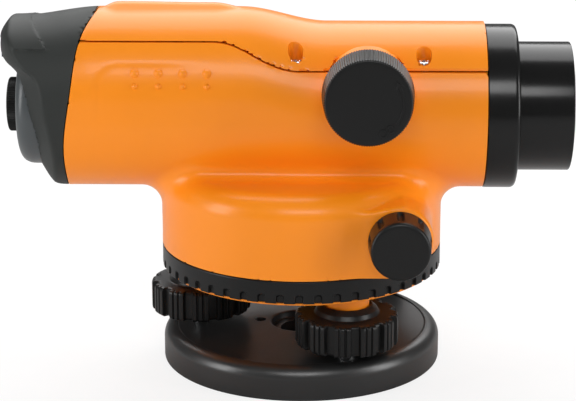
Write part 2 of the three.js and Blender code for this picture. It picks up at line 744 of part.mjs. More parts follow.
// ---------------------------------------------------------------- focusing
function focusKnob() {
  const { x, z, radius, back, front } = FOCUS;
  const ribs = 32;
  const points = [];
  for (let i = 0; i < 2 * ribs; i += 1) {
    const angle = (Math.PI * i) / ribs;
    const reach = i % 2 === 0 ? radius : radius - 0.35;
    points.push([reach * Math.cos(angle), reach * Math.sin(angle)]);
  }
  const grip = solid(alongY(outline(points), -front, -back));
  const envelope = solid(lathe('y', [
    [0, -front], [radius - 1.4, -front], [radius - 0.6, -front + 0.8], [radius + 0.1, -back - 1],
    [radius - 0.6, -back], [0, -back],
  ], 20));
  const bore = solid(rod('y', SHAFT_RADIUS + FIT, -front + 1.4, 0, 14));
  return place(piece('focus_knob', grip.intersect(envelope).subtract(bore), 'black'), x, 0, z);
}

function focusBush() {
  const { x, z, bossEnd } = FOCUS;
  const bush = tube('y', SHAFT_RADIUS + GAP, BUSH_RADIUS, -bossEnd + 0.2, -22, 16);
  return place(piece('focus_bush', bush, 'brass'), x, 0, z);
}

// The pinion has a tooth pointing straight down at rest, between two teeth of the rack.
function focusPinion() {
  const { teeth, tip, root } = PINION;
  const step = 360 / teeth;
  const points = [];
  for (let i = 0; i < teeth; i += 1) {
    for (const [turn, reach] of [[-6.5, root], [-2.5, tip], [2.5, tip], [6.5, root]]) {
      const angle = rad(-90 + i * step + turn);
      points.push([reach * Math.cos(angle), reach * Math.sin(angle)]);
    }
  }
  const gear = solid(alongY(outline(points), -17, -11.2));
  const shaft = solid(rod('y', SHAFT_RADIUS, -FOCUS.front + 1.6, -16.9, 14));
  return place(piece('focus_pinion', gear.add(shaft), 'steel'), FOCUS.x, 0, FOCUS.z);
}

function rackOutline() {
  const pitch = (2 * Math.PI * PINION.pitch) / PINION.teeth;
  const line = FOCUS.z - PINION.pitch;
  const count = 28;
  const reach = (count * pitch) / 2;
  const points = [[-reach, 4], [reach, 4]];
  for (let i = count - 1; i >= 0; i -= 1) {
    const middle = (i + 0.5 - count / 2) * pitch;
    points.push([middle + 0.26, line - 0.5], [middle + 0.1, line + 0.25]);
    points.push([middle - 0.1, line + 0.25], [middle - 0.26, line - 0.5]);
  }
  return outline(points);
}

// The carriage slides on two rods and carries the focusing lens. Its rack faces up.
function focusCarriage() {
  const sleeve = solid(tube('x', 9.3, 11.5, -9, 9, 22));
  const rack = solid(alongY(rackOutline(), -16.4, -11.8));
  const web = solid(block([-7, 7], [-12.4, -8.5], [4.2, 8]));
  let carriage = join(sleeve, rack, web);
  for (const side of [-1, 1]) {
    const ends = [side * 8.6, side * 17.2];
    carriage = carriage.add(solid(block([-6, 6], [Math.min(...ends), Math.max(...ends)], [-12, -5])));
  }
  carriage = carriage.subtract(solid(rod('x', 9.3, -12, 12, 22)));
  for (const side of [-1, 1]) {
    const hole = rod('x', RODS.radius + GAP, -12, 12, 10).translate(0, side * RODS.y, RODS.z);
    carriage = carriage.subtract(solid(hole));
  }
  return place(piece('focus_carriage', carriage, 'aluminium'), FOCUS.x, 0, 0);
}

function guideRod(name, side) {
  const start = BULKHEADS[0] + BULKHEAD_THICKNESS + FIT;
  const end = BULKHEADS[1] - FIT;
  const made = piece(name, rod('x', RODS.radius, start, end, 12), 'steel');
  return place(made, 0, side * RODS.y, RODS.z);
}

// ---------------------------------------------------------------- compensator
function compensatorFrame() {
  const sides = [-1, 1].map((side) => {
    const ends = [side * 13, side * 15];
    return solid(block([-54, -16], [Math.min(...ends), Math.max(...ends)], [-19.5, 19.5]));
  });
  const floor = solid(block([-54, -16], [-15, 15], [-20, -18.2]));
  const bridge = solid(block([-41, -29], [-15, 15], [19.2, 21]));
  return piece('compensator_frame', join(...sides, floor, bridge), 'aluminium');
}

function fixedPrism(name, x, reach) {
  const shape = outline([[x, -6], [x + reach, -6], [x, 6]]);
  return piece(name, alongY(shape, -12.8, 12.8), 'glass');
}

function pendulumPrism() {
  const shape = outline([[-51, -7.5], [-42.5, -16], [-27.5, -16], [-19, -7.5]]);
  return piece('pendulum_prism', alongY(shape, -9.4, 9.4), 'glass');
}

// The hanging cradle of the moving prism: a bar, two arms, and a strap under the prism.
function pendulumArm() {
  const { x, top, bottom } = PENDULUM;
  const bar = solid(block([x - 3, x + 3], [-11.2, 11.2], [top - 2, top]));
  const strap = solid(block([x - 3, x + 3], [-11.2, 11.2], [bottom, -16.1]));
  const tail = solid(block([-61, x], [-3, 3], [bottom, -16.1]));
  const arms = [-1, 1].map((side) => {
    const ends = [side * 9.6, side * 11.2];
    return solid(block([x - 3, x + 3], [Math.min(...ends), Math.max(...ends)], [bottom, top]));
  });
  return piece('pendulum_arm', join(bar, strap, tail, ...arms), 'aluminium');
}

function dampingPlate() {
  return piece('damping_plate', block([-61, -53.5], [-0.7, 0.7], [-16, -6]), 'copper');
}

function dampingMagnet() {
  const body = solid(block([-64.5, -54.6], [-6, 6], [-15.3, -5]));
  const slot = solid(block([-62, -50], [-1.5, 1.5], [-20, 0]));
  return piece('damping_magnet', body.subtract(slot), 'steel');
}

// Two suspension wires hanging from one clamp bar.
function suspension(name, x) {
  const top = 19.1;
  const bar = solid(block([x - 0.8, x + 0.8], [-10, 10], [top - 1.2, top]));
  const wires = [-1, 1].map((side) => {
    return solid(rod('z', 0.25, PENDULUM.top + GAP, top - 0.6, 8).translate(x, side * 9, 0));
  });
  return piece(name, join(bar, ...wires), 'steel');
}

// ---------------------------------------------------------------- reticle and bubble
function reticleFrame() {
  return piece('reticle_frame', tube('x', 7, BODY_RADIUS - BODY_WALL - 2 * GAP, -70, -66, 28), 'black');
}

function reticleGlass() {
  return piece('reticle_glass', rod('x', 7 - FIT, -68.6, -67.4, 32), 'glass');
}

function bubbleCup() {
  const profile = [[0, 0], [7.5, 0], [7.5, 6], [6.3, 6], [6.3, 2], [0, 2]];
  return place(piece('bubble_cup', lathe('z', profile, 20), 'brass'), -79.5, 0, 10);
}

function bubbleVial() {
  const profile = [[0, 2 + FIT], [6.2, 2 + FIT], [6.2, 5.6], [4.5, 6.6], [0, 7]];
  return place(piece('bubble_vial', lathe('z', profile, 20), 'glass'), -79.5, 0, 10);
}

function bubbleMirror() {
  const mirror = piece('bubble_mirror', block([-8, 8], [-6.5, 6.5], [-0.6, 0.6]), 'steel');
  mirror.rotation.y = -Math.PI / 4;
  return place(mirror, -80, 0, 23.6);
}

function circleWindow() {
  return piece('circle_window', block([-49.6, -48.2], [-6, 6], [46, 53]), 'glass');
}

// ---------------------------------------------------------------- assembly
const level = new THREE.Group();
level.add(basePlate(), springPlate(), tribrach());
for (const screw of SCREWS) level.add(footScrewSpindle(screw), footKnob(screw));
level.add(circleRing(), circleScale(), wormWheel());

const alidade = new THREE.Group();
alidade.add(axisSpindle(), axisNut(), circleWindow(), wormShaft());
alidade.add(slowKnob('slow_knob_near', -1), slowKnob('slow_knob_far', 1));
alidade.add(slowBush('slow_bush_near', -1), slowBush('slow_bush_far', 1));

const telescope = new THREE.Group();
telescope.position.z = SIGHT_Z;
telescope.add(housing(), topCover(), eyepieceCover(), hoodWindow());
for (const screw of COVER_SCREWS) telescope.add(coverScrew(screw));
telescope.add(eyepieceBezel(), eyepieceRing(), eyepieceBarrel());
telescope.add(lens('eye_lens', 5.3, -102.4, -101, 0.4, 0.8));
telescope.add(lens('field_lens', 5.3, -84, -82.6, 0.8, 0.3));
telescope.add(objectiveCollar(), objectiveTube(), objectiveRetainer());
telescope.add(lens('objective_flint', 19.2, 80.2, 82.8, -1.2, 0));
telescope.add(lens('objective_crown', 19.2, 83.2, 86, 0, 1.6));
telescope.add(focusKnob(), focusBush(), focusPinion(), focusCarriage());
telescope.add(guideRod('guide_rod_near', -1), guideRod('guide_rod_far', 1));
telescope.add(lens('focus_lens', 9.2, 21.5, 24.5, -0.7, -0.7));
telescope.add(compensatorFrame(), fixedPrism('fixed_prism_front', -18, -12));
telescope.add(fixedPrism('fixed_prism_rear', -52, 12), dampingMagnet());
telescope.add(suspension('suspension_front', -33.2), suspension('suspension_rear', -36.8));
telescope.add(pendulumArm(), pendulumPrism(), dampingPlate());
telescope.add(reticleFrame(), reticleGlass(), bubbleCup(), bubbleVial(), bubbleMirror());
alidade.add(telescope);
level.add(alidade);
level.position.x = AXIS_X;

export default level;
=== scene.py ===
"""Looks of the automatic level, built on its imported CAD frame.

Lengths in this script are millimetres, turned into metres when a mesh is made. The
instrument's own axes are x along the line of sight from the vertical axis, y, and either
z up from the floor or h up from the line of sight.
"""
import json
from itertools import product
from math import cos, radians, sin

import bmesh
import bpy
import numpy as np
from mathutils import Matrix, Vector


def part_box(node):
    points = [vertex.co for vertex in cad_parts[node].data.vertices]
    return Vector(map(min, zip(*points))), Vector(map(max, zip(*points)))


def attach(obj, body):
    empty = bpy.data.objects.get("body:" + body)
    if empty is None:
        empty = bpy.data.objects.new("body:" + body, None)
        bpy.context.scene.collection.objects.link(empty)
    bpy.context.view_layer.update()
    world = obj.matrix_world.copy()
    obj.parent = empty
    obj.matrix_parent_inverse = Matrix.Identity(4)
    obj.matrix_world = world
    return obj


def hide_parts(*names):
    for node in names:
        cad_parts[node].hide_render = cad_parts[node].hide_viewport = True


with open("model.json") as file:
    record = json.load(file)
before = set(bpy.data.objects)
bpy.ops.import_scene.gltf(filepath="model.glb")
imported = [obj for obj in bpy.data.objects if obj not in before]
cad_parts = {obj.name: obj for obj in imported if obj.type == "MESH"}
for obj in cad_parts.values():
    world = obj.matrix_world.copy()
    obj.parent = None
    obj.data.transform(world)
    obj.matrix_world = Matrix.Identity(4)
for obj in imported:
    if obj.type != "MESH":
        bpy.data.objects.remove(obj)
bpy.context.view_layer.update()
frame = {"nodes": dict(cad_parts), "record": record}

MM = 0.001
SLOTS = {part["node"]: part["material_slot"] for part in frame["record"]["subparts"]}


def cad_middle(node):
    """Middle of a CAD node's box, in millimetres"""
    low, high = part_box(node)
    return (np.array(low) + np.array(high)) / 2 / MM


AXIS_X = cad_middle("base_plate")[0]
SIGHT_Z = cad_middle("objective_tube")[2]

# ---------------------------------------------------------------- sizes
SIGHT_HEIGHT = 92.8

# The telescope's body. Its section is a circle stretched upwards by a raise.
BODY_RADIUS = 28.5
BODY_RAISE = 6.4
FRONT_RADIUS = 29.25
FRONT_RAISE = 0.6
BODY_END = 64.0
WALL = 3.0

# The cover round the eyepiece, whose outline bends back by HOOD_BEND times y squared.
HOOD_RAISE = 3.1
HOOD_BEND = 0.0166

# The drum under the body, with a round shoulder.
DRUM_RADIUS = 50.0
DRUM_INSIDE = 46.0
DRUM_BOTTOM = 43.6 - SIGHT_HEIGHT
DRUM_CEILING = 62.8 - SIGHT_HEIGHT
SHOULDER = 8.0
SHOULDER_START = 64 - SIGHT_HEIGHT

# The line between the housing and its cover.
SEAM_REAR = 26.6
SEAM_FRONT = 17.2
SEAM_GAP = 0.55

# The focus knob and the slow motion knobs, their bosses, and the holes of their shafts.
FOCUS_X = 23.0
FOCUS_H = 12.1
FOCUS_BOSS = 13.8
FOCUS_FACE = 47
SLOW_X = 34.0
SLOW_H = 56.8 - SIGHT_HEIGHT
SLOW_BOSS = 11.6
SLOW_BOSS_END = 46.2
SLOW_BACK = 46.5
SLOW_RADIUS = 10.85
SHAFT_HOLE = 4.7

# The cover screws, their posts, and the pockets over them.
SCREWS_X = (-1.7, 42.3)
SCREWS_Y = 19.3
SCREW_HOLE = 1.3
POST_RADIUS = 4
POCKET_RADIUS = 2.6
POCKET_FLOOR = 18.6

# The base. Each foot screw has the angle of its place and the angle of its knob's lobes.
PLATE_RADIUS = 50
PLATE_TOP = 12
RING_RADIUS = 50.0
RING_BOTTOM = 35.4
SCREW_PITCH = 36.7
FIXING_PITCH = 15.05
FOOT_SCREWS = {"front": (-63.6, -5.0), "rear": (56.4, 10.0), "left": (176.4, 2.5)}


# ---------------------------------------------------------------- small maths
def mix(a, b, t):
    """The value at share t of the way from a to b"""
    return a + (b - a) * t


def ease(value, low, high):
    """0 below low, 1 above high, smooth between"""
    t = np.clip((value - low) / (high - low), 0, 1)
    return t * t * (3 - 2 * t)


def union(a, b, fillet):
    """Distance to two shapes joined with a concave fillet"""
    near = np.hypot(np.maximum(fillet - a, 0), np.maximum(fillet - b, 0))
    return np.maximum(fillet, np.minimum(a, b)) - near


def overlap(a, b, fillet):
    """Distance to what two shapes share, with a rounded edge"""
    return -union(-a, -b, fillet)


# ---------------------------------------------------------------- materials
def node(tree, kind, **inputs):
    """A new shader node with some of its inputs set or linked"""
    made = tree.nodes.new(kind)
    for name, value in inputs.items():
        socket = made.inputs[name.replace("_", " ")]
        if isinstance(value, bpy.types.NodeSocket):
            tree.links.new(value, socket)
        else:
            socket.default_value = value
    return made


def noise(tree, place, size, detail=3.0, stretch=(1, 1, 1)):
    """Noise whose features are about `size` millimetres across"""
    mapping = node(tree, "ShaderNodeMapping", Vector=place)
    mapping.inputs["Scale"].default_value = [1 / (size * MM * s) for s in stretch]
    return node(tree, "ShaderNodeTexNoise", Vector=mapping.outputs[0], Scale=1.0, Detail=detail)


def spread(tree, value, low, high, start=0.3, end=0.7):
    """A value that runs from low to high as a noise runs from start to end"""
    scaled = node(tree, "ShaderNodeMapRange", Value=value)
    for name, number in (("From Min", start), ("From Max", end), ("To Min", low), ("To Max", high)):
        scaled.inputs[name].default_value = number
    return scaled.outputs[0]


def surface(name, colour, rough, metal=0.0, grain=(0.4, 0.01), stretch=(1, 1, 1), **extra):
    """A material with fine relief, uneven sheen, and a little shade variation.

    grain is the size and the depth of the fine relief in millimetres. extra may hold coat,
    specular, patches (how far the sheen varies) and mottle (how far the shade does)."""
    made = bpy.data.materials.new(name)
    made.use_nodes = True
    tree = made.node_tree
    shader = tree.nodes["Principled BSDF"]
    place = tree.nodes.new("ShaderNodeTexCoord").outputs["Object"]
    broad = noise(tree, place, 22.0, 2.0).outputs[0]
    fine = noise(tree, place, grain[0], 4.0, stretch).outputs[0]
    patches = extra.get("patches", 0.12)
    sheen = spread(tree, broad, rough * (1 - patches), rough * (1 + patches))
    speckle = spread(tree, fine, -0.03, 0.03)
    total = node(tree, "ShaderNodeMath")
    tree.links.new(sheen, total.inputs[0])
    tree.links.new(speckle, total.inputs[1])
    tree.links.new(total.outputs[0], shader.inputs["Roughness"])
    mottle = extra.get("mottle", 0.05)
    shade = spread(tree, broad, 1 - mottle, 1 + mottle)
    tint = node(tree, "ShaderNodeVectorMath")
    tint.operation = "SCALE"
    tint.inputs[0].default_value = colour
    tree.links.new(shade, tint.inputs["Scale"])
    tree.links.new(tint.outputs[0], shader.inputs["Base Color"])
    bump = node(tree, "ShaderNodeBump", Height=fine, Distance=grain[1] * MM, Strength=1.0)
    tree.links.new(bump.outputs[0], shader.inputs["Normal"])
    shader.inputs["Metallic"].default_value = metal
    shader.inputs["Coat Weight"].default_value = extra.get("coat", 0.0)
    shader.inputs["Coat Roughness"].default_value = 0.12
    shader.inputs["Specular IOR Level"].default_value = extra.get("specular", 0.5)
    return made


def clear_glass(name, colour):
    """Polished optical glass with a faint coating tint and a few dust specks"""
    made = surface(name, colour, 0.04, grain=(1.5, 0.001), patches=0.3)
    shader = made.node_tree.nodes["Principled BSDF"]
    shader.inputs["Transmission Weight"].default_value = 1.0
    shader.inputs["IOR"].default_value = 1.5
    shader.inputs["Thin Film Thickness"].default_value = 110
    return made


def make_materials():
    """One material for each material slot of the record"""
    return {
        "orange_paint": surface("orange_paint", (1.0, 0.285, 0.008), 0.33, grain=(0.7, 0.004),
                                coat=0.12, patches=0.06, mottle=0.012, specular=0.36),
        "black_cast": surface("black_cast", (0.014, 0.014, 0.014), 0.34, grain=(0.5, 0.008),
                              specular=0.9),
        "black_metal": surface("black_metal", (0.006, 0.006, 0.006), 0.2, grain=(0.25, 0.002),
                               stretch=(0.5, 6, 6), specular=0.4),
        "black_plastic": surface("black_plastic", (0.008, 0.008, 0.008), 0.34, grain=(0.3, 0.012),
                                 specular=0.34),
        "grip_plastic": surface("grip_plastic", (0.028, 0.031, 0.029), 0.55, grain=(0.35, 0.02),
                                specular=0.3),
        "grey_plastic": surface("grey_plastic", (0.07, 0.078, 0.082), 0.3, grain=(0.4, 0.008)),
        "steel": surface("steel", (0.55, 0.56, 0.57), 0.28, 1.0, grain=(0.2, 0.006), stretch=(6, 6, 0.4)),
        "chrome": surface("chrome", (0.75, 0.76, 0.78), 0.14, 1.0, grain=(0.3, 0.003)),
        "brass": surface("brass", (0.68, 0.48, 0.2), 0.3, 1.0, grain=(0.25, 0.006), stretch=(5, 5, 0.5)),
        "copper": surface("copper", (0.7, 0.36, 0.2), 0.34, 1.0, grain=(0.5, 0.006), stretch=(4, 1, 0.6)),
        "aluminium": surface("aluminium", (0.66, 0.66, 0.67), 0.36, 1.0, grain=(0.3, 0.008),
                             stretch=(5, 5, 0.5)),
        "glass": clear_glass("glass", (0.9, 0.97, 0.98)),
        "mirror": surface("mirror", (0.86, 0.87, 0.89), 0.05, 1.0, grain=(2.0, 0.0008)),
    }


materials = make_materials()


# ---------------------------------------------------------------- meshes
CREASE = 34  # degrees between faces, from which an edge is sharp


def finish_mesh(name, points, faces):
    """An object from points in millimetres in the shared frame, smooth but for its creases"""
    mesh = bpy.data.meshes.new(name)
    mesh.from_pydata((np.asarray(points) * MM).tolist(), [], faces)
    mesh.validate()
    mesh.shade_smooth()
    mesh.set_sharp_from_angle(angle=radians(CREASE))
    made = bpy.data.objects.new(name, mesh)
    bpy.context.scene.collection.objects.link(made)
    return made


def stand_for(piece, body, *nodes):
    """The piece is shown instead of CAD nodes, in the finish of the first"""
    slot = SLOTS[nodes[0]]
    piece.data.materials.append(materials[slot])
    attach(piece, body)
    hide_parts(*nodes)
    return piece


def rounded(corners, steps=4):
    """An outline of (radius, height, corner radius) triples with its corners rounded"""
    points = []
    spots = [np.array(corner[:2], float) for corner in corners]
    for i, (here, corner) in enumerate(zip(spots, corners)):
        if len(corner) < 3 or corner[2] == 0:
            points.append(here)
            continue
        back = spots[i - 1] - here
        onward = spots[(i + 1) % len(spots)] - here
        back_length, onward_length = np.linalg.norm(back), np.linalg.norm(onward)
        turn = np.arccos(np.clip(back @ onward / back_length / onward_length, -1, 1))
        reach = min(corner[2] / np.tan(turn / 2), 0.49 * back_length, 0.49 * onward_length)
        start = here + back / back_length * reach
        end = here + onward / onward_length * reach
        for t in np.linspace(0, 1, steps + 1):
            points.append((1 - t) ** 2 * start + 2 * t * (1 - t) * here + t * t * end)
    return points


def dense(points, step, low=-1e9, high=1e9):
    """The outline with extra points, no more than step apart, where its radius is within bounds"""
    result = []
    for here, onward in zip(points, points[1:] + points[:1]):
        result.append(here)
        if max(here[0], onward[0]) < low or min(here[0], onward[0]) > high:
            continue
        count = int(np.linalg.norm(onward - here) / step)
        for i in range(1, count):
            result.append(mix(here, onward, i / count))
    return result


def ring_faces(rows, columns, closed):
    """Quads between the rows of a revolved outline"""
    faces = []
    for i in range(rows if closed else rows - 1):
        for j in range(columns):
            a, b = i * columns, (i + 1) % rows * columns
            k = (j + 1) % columns
            faces.append((a + j, a + k, b + k, b + j))
    return faces


TURNS = {
    "z": lambda u, v, w: (u, v, w),
    "x": lambda u, v, w: (w, u, v),
    "y": lambda u, v, w: (u, -w, v),
}


def revolve(axis, outline, segments, relief=None):
    """Points and faces of an outline of (radius, height) revolved about an axis.

    relief(radius, height, angle) gives new radii and heights. Angles are in degrees. About y,
    heights run towards -Y. An outline that starts and ends on the axis needs no cap."""
    profile = np.array(outline, float)
    angle = np.linspace(0, 360, segments, endpoint=False)
    radius, turn = np.meshgrid(profile[:, 0], angle, indexing="ij")
    height = np.repeat(profile[:, 1:2], segments, 1)
    if relief:
        radius, height = relief(radius, height, turn)
    u, v = radius * np.cos(np.radians(turn)), radius * np.sin(np.radians(turn))
    points = np.stack(TURNS[axis](u, v, height), -1).reshape(-1, 3)
    closed = profile[0, 0] > 0 or profile[-1, 0] > 0
    return points, ring_faces(len(profile), segments, closed)


def gather(parts):
    """One list of points and one of faces from several"""
    points, faces, count = [], [], 0
    for some_points, some_faces in parts:
        points.append(np.asarray(some_points))
        faces += [tuple(count + i for i in face) for face in some_faces]
        count += len(some_points)
    return np.concatenate(points), faces


def turned(name, body, centre, *parts):
    """A piece from revolved parts at a centre, standing for the CAD node of the same name"""
    points, faces = gather(parts)
    piece = finish_mesh(name + "_look", points + np.array(centre), faces)
    tidy_mesh(piece)
    return stand_for(piece, body, name)


def tidy_mesh(piece):
    """Merges the points on a revolved outline's axis and turns all faces outwards"""
    mesh = bmesh.new()
    mesh.from_mesh(piece.data)
    bmesh.ops.remove_doubles(mesh, verts=mesh.verts, dist=1e-7)
    bmesh.ops.recalc_face_normals(mesh, faces=mesh.faces)
    mesh.to_mesh(piece.data)
    mesh.free()


# ---------------------------------------------------------------- skins from distances
def slopes(fields, points, step=0.02):
    """Gradients of all fields at points, by central differences"""
    result = []
    for axis in range(3):
        shift = np.zeros(3)
        shift[axis] = step
        result.append((fields(points + shift) - fields(points - shift)) / (2 * step))
    return np.stack(result, -1)


def dot(a, b):
    """Dot products of the rows of two arrays"""
    return np.einsum("ij,ij->i", a, b)


def settle(fields, points, middles, cell):
    """Moves points onto the surface, and onto its sharp edges where a cell holds one"""
    rows = np.arange(len(points))
    for _ in range(3):
        value = fields(points)
        top = value.argmax(0)
        slope = slopes(fields, points)[top, rows]
        move = slope * (value[top, rows] / np.maximum(dot(slope, slope), 0.2))[:, None]
        points = points - np.clip(move, -cell, cell)
    order = np.argsort(fields(points), 0)
    if len(order) < 2:
        return points
    first, second = order[-1], order[-2]
    edge = points.copy()
    for _ in range(5):
        value, slope = fields(edge), slopes(fields, edge)
        v1, v2 = value[first, rows], value[second, rows]
        g1, g2 = slope[first, rows], slope[second, rows]
        a, b, c = dot(g1, g1), dot(g1, g2), dot(g2, g2)
        det = a * c - b * b
        safe = np.where(det > 0.1 * a * c, det, np.inf)
        move = g1 * ((v2 * b - v1 * c) / safe)[:, None] + g2 * ((v1 * b - v2 * a) / safe)[:, None]
        edge = edge + np.clip(move, -cell, cell)
    value = fields(edge)
    near = np.abs(edge - middles).max(1) < 0.54 * cell
    sharp = near & (det > 0.1 * a * c) & (np.abs(value[first, rows]) < 0.01) & (value.max(0) < 0.02)
    points[sharp] = edge[sharp]
    return points


def cell_points(value, cells, low, cell):
    """For each cell, the mean of the points where its edges cross the surface"""
    total = np.zeros((len(cells), 3))
    hits = np.zeros(len(cells))
    for axis in range(3):
        step = np.eye(3, dtype=int)[axis]
        others = [i for i in range(3) if i != axis]
        for pair in product((0, 1), repeat=2):
            start = cells.copy()
            start[:, others] += pair
            end = start + step
            a, b = value[tuple(start.T)], value[tuple(end.T)]
            cross = (a < 0) != (b < 0)
            share = np.where(cross, a / np.where(cross, a - b, 1), 0)
            total += np.where(cross[:, None], start + share[:, None] * step, 0)
            hits += cross
    return low + cell * total / hits[:, None]


def grid_faces(inside, index):
    """A quad round every grid edge that crosses the surface"""
    faces = []
    for axis in range(3):
        u, v = (axis + 1) % 3, (axis + 2) % 3
        ahead = [slice(None)] * 3
        behind = [slice(None)] * 3
        ahead[axis], behind[axis] = slice(1, None), slice(None, -1)
        here, there = inside[tuple(behind)], inside[tuple(ahead)]
        for flip in (False, True):
            edge = np.argwhere((here & ~there) if flip else (there & ~here))
            corners = []
            for du, dv in ((0, 0), (1, 0), (1, 1), (0, 1)):
                spot = edge.copy()
                spot[:, u] -= du
                spot[:, v] -= dv
                corners.append(index[tuple(spot.T)])
            quad = np.stack(corners[::-1] if flip else corners, 1)
            faces += quad.tolist()
    return faces


def skin(fields, low, high, cell):
    """A closed surface where the greatest of some distance fields is zero"""
    low = np.array(low, float)
    count = np.ceil((np.array(high) - low) / cell).astype(int) + 1
    axes = [low[i] + cell * np.arange(count[i]) for i in range(3)]
    grid = np.stack(np.meshgrid(*axes, indexing="ij"), -1).reshape(-1, 3)
    value = fields(grid).max(0).reshape(count)
    inside = value < 0
    parts = [inside[i:count[0] - 1 + i, j:count[1] - 1 + j, k:count[2] - 1 + k]
             for i, j, k in product((0, 1), repeat=3)]
    held = sum(part.astype(int) for part in parts)
    cells = np.argwhere((held > 0) & (held < 8))
    index = np.zeros(held.shape, int)
    index[tuple(cells.T)] = np.arange(len(cells))
    points = cell_points(value, cells, low, cell)
    points = settle(fields, points, low + cell * (cells + 0.5), cell)
    return points, grid_faces(inside, index)


def skin_piece(name, body, fields, low, high, cell, extra=()):
    """A piece from distance fields in the line of sight's frame"""
    points, faces = gather([skin(fields, low, high, cell), *extra])
    piece = finish_mesh(name + "_look", points + np.array((AXIS_X, 0, SIGHT_Z)), faces)
    return stand_for(piece, body, name)


# ---------------------------------------------------------------- the orange body
def long_body(x, y, h, inset=0.0):
    """Distance to the telescope's body, whose section changes along its length"""
    front = ease(x, -21, 9)
    hood = ease(-x, 70, 100)
    radius = mix(BODY_RADIUS, FRONT_RADIUS, front) - inset
    lower = FRONT_RAISE * front
    upper = mix(mix(BODY_RAISE, HOOD_RAISE, hood), FRONT_RAISE, front)
    return np.hypot(y, h - np.clip(h, lower, upper)) - radius


def sighting_rib(x, y, h):
    """Distance to the narrow rib along the top"""
    crest = 37.0 - 3.6 * (1 - ease(x, -74, -64)) - 0.3 * ease(x, -60, -35) - 4.4 * ease(x, -31, -9)
    flank = 0.53 * (np.abs(y) - 1.4) + 0.85 * (h - crest)
    return np.maximum(overlap(h - crest, flank, 0.5), 32.5 - h)


def grip_recess(x, y, h):
    """Depth of the shallow finger recess on both flanks"""
    corner = np.hypot(np.minimum(x + 62.3, 0), np.maximum(h - 12.4, 0)) - 8.2
    held = 1 - ease(corner, -2.2, 0.8)
    fade = (1 - ease(x, -52, -26)) * ease(h, -4, 14)
    return 0.45 * held * fade * ease(np.abs(y), 8, 16)


def slow_boss(x, y, h):
    """Distance to the bosses behind the slow motion knobs, which run back into the drum"""
    knob = np.hypot(x - SLOW_X, h - SLOW_H) - SLOW_BOSS
    web = np.maximum(np.abs(x - 22) - 12, h - (SLOW_H + SLOW_BOSS - 1.3))
    low = DRUM_BOTTOM - 4 - h
    return overlap(np.maximum(union(knob, web, 3.0), low), np.abs(y) - SLOW_BOSS_END, 1.6)


def outer_body(x, y, h):
    """Distance to the whole orange body before it is cut"""
    radial = np.hypot(x, y)
    rise = h - SHOULDER_START
    over, up = radial - (DRUM_RADIUS - SHOULDER), np.maximum(rise, 0)
    drum = np.hypot(np.maximum(over, 0), up) + np.minimum(np.maximum(over, up), 0) - SHOULDER
    body = union(long_body(x, y, h) + grip_recess(x, y, h), drum, 7.0)
    return union(union(body, slow_boss(x, y, h), 1.2), sighting_rib(x, y, h), 0.5)


def focus_boss(x, y, h, radius=FOCUS_BOSS):
    """Distance to the round boss behind the focus knob"""
    return np.maximum(np.hypot(x - FOCUS_X, h - FOCUS_H) - radius, y + 20)


def cavity(x, y, h):
    """Distance to the hollow inside the body"""
    rear = np.maximum(np.hypot(y, h - np.clip(h, 0, BODY_RAISE)) - (BODY_RADIUS - WALL), x + 24)
    middle = np.maximum(np.hypot(y, h - FRONT_RAISE) - (FRONT_RADIUS - WALL), -48 - x)
    drum = np.maximum(np.hypot(x, y) - DRUM_INSIDE, h - DRUM_CEILING)
    return np.minimum(np.minimum(rear, middle), drum)


def bulkheads(x, y, h):
    """Distance to the two rings inside the body"""
    ring = np.maximum(17 - np.hypot(y, h - FRONT_RAISE), np.hypot(y, h) - 28)
    near = np.minimum(np.abs(x + 10.5), np.abs(x - 56.5)) - 1.5
    return np.maximum(ring, near)


def nearest_screw(x, y):
    """Distances along x from the nearest cover screw and along y from the body's middle"""
    across = np.minimum(np.abs(x - SCREWS_X[0]), np.abs(x - SCREWS_X[1]))
    return across, np.abs(y)


def seam_gap(x):
    """Upright width of the seam's gap, which is larger where the seam slopes"""
    slope = seam_height(x + 0.5) - seam_height(x - 0.5)
    return SEAM_GAP * np.hypot(1, slope)


def seam_height(x):
    """Height of the line between the housing and its cover

    The line falls from SEAM_REAR to SEAM_FRONT along a Bezier curve between x = -30 and x = 2.
    Newton's method finds the curve's parameter at x."""
    t = np.clip((x + 30) / 32, 0, 1)
    for _ in range(5):
        reached = 3 * (1 - t) ** 2 * t * 12 + 3 * (1 - t) * t * t * 17 + t ** 3 * 32
        speed = 3 * (1 - t) ** 2 * 12 + 6 * (1 - t) * t * 5 + 3 * t * t * 15
        t = np.clip(t - (reached - np.clip(x + 30, 0, 32)) / np.maximum(speed, 6), 0, 1)
    fall = 3 * (1 - t) * t * t + t ** 3
    return SEAM_REAR - (SEAM_REAR - SEAM_FRONT) * fall


# The joint between the body and the eyepiece cover: pairs of h and x.
HOOD_LINE = ((-30, -83.2), (-18, -81.6), (-6, -81.0), (6, -79.4), (16.4, -77.6), (24, -76.4),
             (29, -75.3), (33, -72.4), (37, -68.5))


def smooth_line(table):
    """A smooth curve through (input, output) pairs, as a function"""
    inputs, outputs = np.array(table, float).T
    powers = np.polynomial.Polynomial.fit(inputs, outputs, 5)
    return lambda value: powers(np.clip(value, inputs[0], inputs[-1]))


hood_line = smooth_line(HOOD_LINE)


